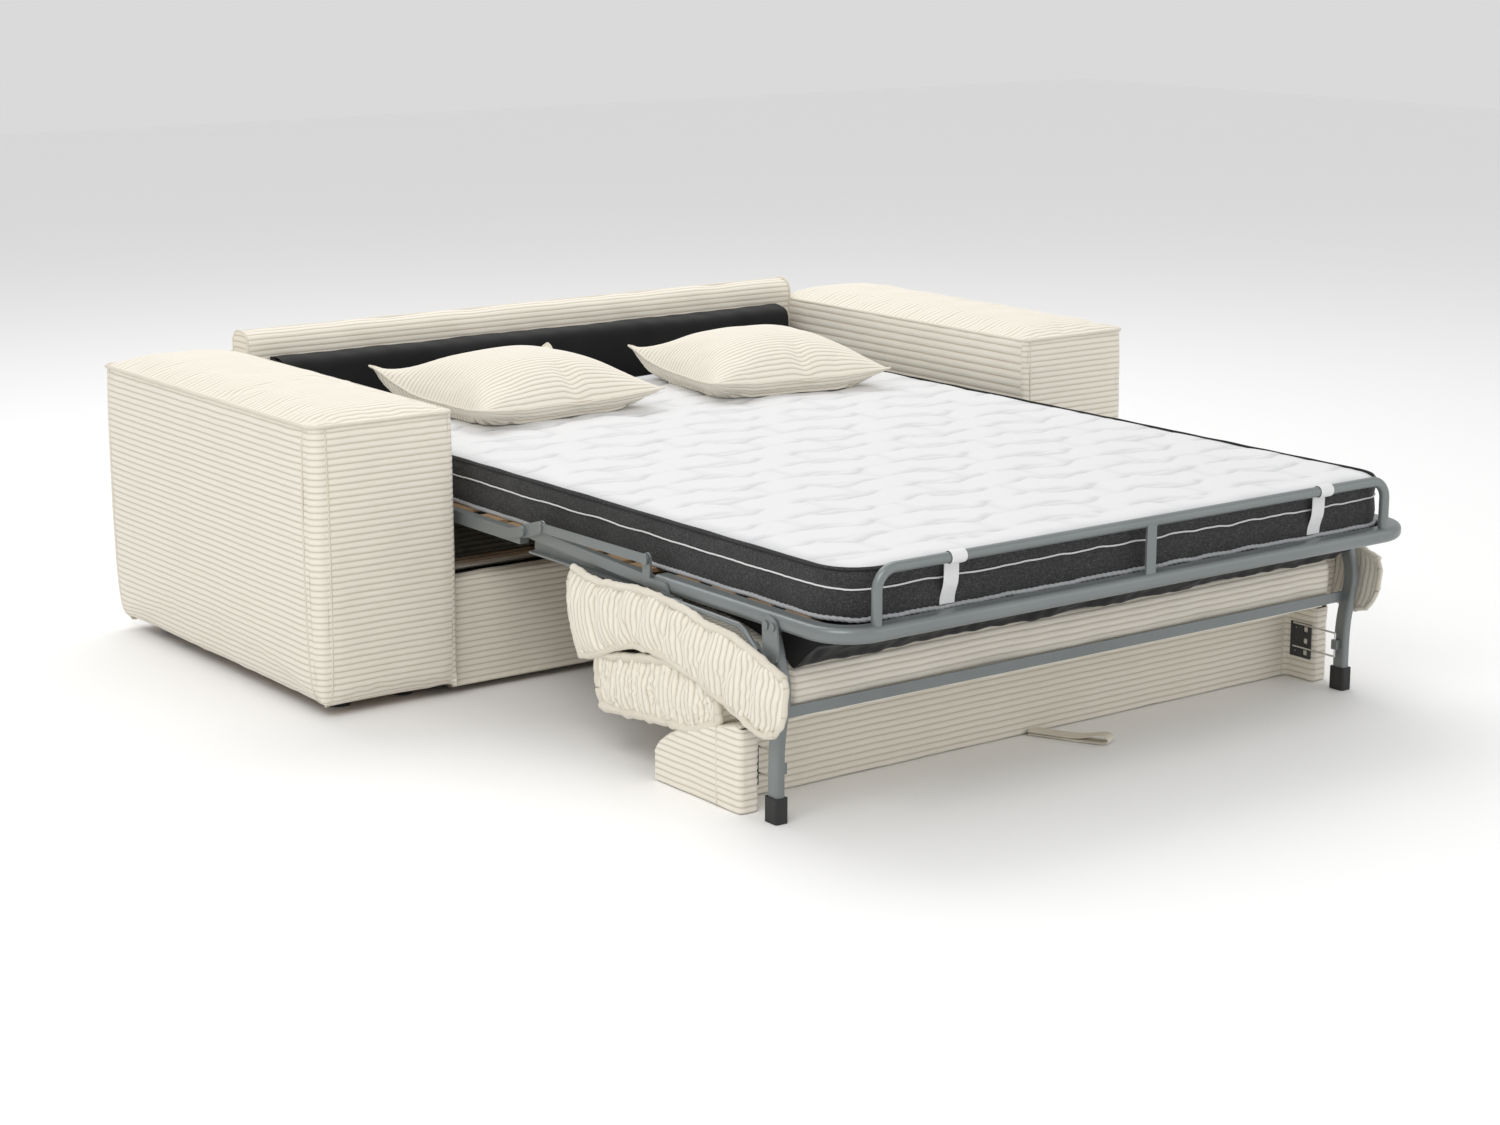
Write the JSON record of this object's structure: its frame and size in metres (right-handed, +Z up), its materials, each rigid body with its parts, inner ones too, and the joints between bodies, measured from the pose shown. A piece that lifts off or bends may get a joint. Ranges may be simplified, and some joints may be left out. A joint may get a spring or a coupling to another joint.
{
  "type": "sleeper sofa",
  "caption": "Low corduroy sofa with wide padded arms, opened into a bed: a folding steel frame with a quilted mattress on legs, cushions and backrest hung below.",
  "frame": {"origin": "on the floor, under the middle of the whole outline with the bed pulled out", "axes": "+Z up, X along the sofa's width, the front of the sofa and the bed's foot look along -Y"},
  "size_m": [2.184, 2.182, 0.6483],
  "materials": {
    "corduroy": "wide-wale ribbed cream corduroy",
    "black_cloth": "matt black lining cloth",
    "mattress_knit": "white quilted knit with a charcoal border",
    "frame_wood": "raw board",
    "slat_wood": "lacquered bent-wood slats",
    "grey_steel": "satin mid-grey powder coat",
    "bright_steel": "bright zinc or chrome",
    "dark_steel": "dark grey satin",
    "black_rubber": "moulded black rubber",
    "black_plastic": "matt black",
    "white_elastic": "white woven elastic"
  },
  "bodies": {
    "sofa_body": {"arm_cover_left": "corduroy", "arm_cover_right": "corduroy", "arm_carcasses": "frame_wood", "arm_base_boards": "frame_wood", "arm_glides": "black_plastic", "back_cover": "corduroy", "back_board": "frame_wood", "back_lining": "black_cloth", "front_rail_cover": "corduroy", "front_rail_board": "frame_wood", "dust_cover": "black_cloth", "side_plates": "grey_steel", "side_plate_bolts": "grey_steel", "head_rails": "grey_steel", "rail_bosses": "grey_steel", "base_cross_tubes": "bright_steel", "head_cross_tube": "grey_steel", "head_slats": "slat_wood", "head_hinge_plates": "grey_steel", "bar_rear_pins": "grey_steel", "mattress_head": "mattress_knit", "mattress_rear_fold": "mattress_knit", "pillow_left": "corduroy", "pillow_right": "corduroy"},
    "middle_section": {"middle_tubes": "grey_steel", "middle_angles": "grey_steel", "middle_slats": "slat_wood", "head_pivot_pins": "grey_steel", "foot_pivot_pins": "grey_steel", "mattress_middle": "mattress_knit", "mattress_front_fold": "mattress_knit"},
    "link_bars": {"link_bars": "grey_steel", "bar_front_pins": "grey_steel"},
    "foot_section": {"foot_frame_tube": "grey_steel", "foot_slats": "slat_wood", "foot_hinge_plates": "grey_steel", "foot_guard": "grey_steel", "guard_centre_post": "grey_steel", "mattress_straps": "white_elastic", "leg_brackets": "grey_steel", "leg_pivot_rivets": "grey_steel", "rod_slide_studs": "grey_steel", "mattress_foot": "mattress_knit", "seat_cushion": "corduroy", "seat_pad_black": "black_cloth"},
    "legs_and_backrest": {"leg_left": "grey_steel", "leg_right": "grey_steel", "leg_shoes": "black_rubber", "leg_cross_bar": "grey_steel", "staple_keepers": "grey_steel", "backrest_staples": "bright_steel", "backrest_hinge_plates": "dark_steel", "backrest_cover": "corduroy", "backrest_board": "frame_wood", "back_cushion": "corduroy", "pull_strap": "corduroy"},
    "leg_control_rods": {"leg_control_rods": "grey_steel", "leg_rod_pins": "grey_steel"}
  },
  "joints": [
    {"name": "middle_section_fold", "type": "hinge", "parent": "sofa_body", "child": "middle_section", "pos_m": [0, -0.099, 0.388], "axis": [-1, 0, 0], "range_deg": [0, 86.8], "deforming": ["mattress_rear_fold"]},
    {"name": "foot_section_fold", "type": "hinge", "parent": "middle_section", "child": "foot_section", "pos_m": [0, -0.523, 0.369], "axis": [-1, 0, 0], "range_deg": [0, 92.9], "deforming": ["mattress_front_fold"]},
    {"name": "link_bar_swing", "type": "hinge", "parent": "sofa_body", "child": "link_bars", "pos_m": [0, -0.166, 0.408], "axis": [-1, 0, 0], "range_deg": [0, 92.9]},
    {"name": "leg_recline", "type": "hinge", "parent": "foot_section", "child": "legs_and_backrest", "pos_m": [0, -0.894, 0.362], "axis": [-1, 0, 0], "range_deg": [0, 5.3]},
    {"name": "control_rod_swing", "type": "hinge", "parent": "legs_and_backrest", "child": "leg_control_rods", "pos_m": [0, -0.888, 0.302], "axis": [-1, 0, 0], "range_deg": [-5.2, 0]}
  ],
  "couplings": [
    {"joint": "foot_section_fold", "follows": "middle_section_fold", "ratio": 1.07},
    {"joint": "link_bar_swing", "follows": "middle_section_fold", "ratio": 1.069},
    {"joint": "leg_recline", "follows": "middle_section_fold", "ratio": 0.06},
    {"joint": "control_rod_swing", "follows": "middle_section_fold", "ratio": -0.0587}
  ]
}
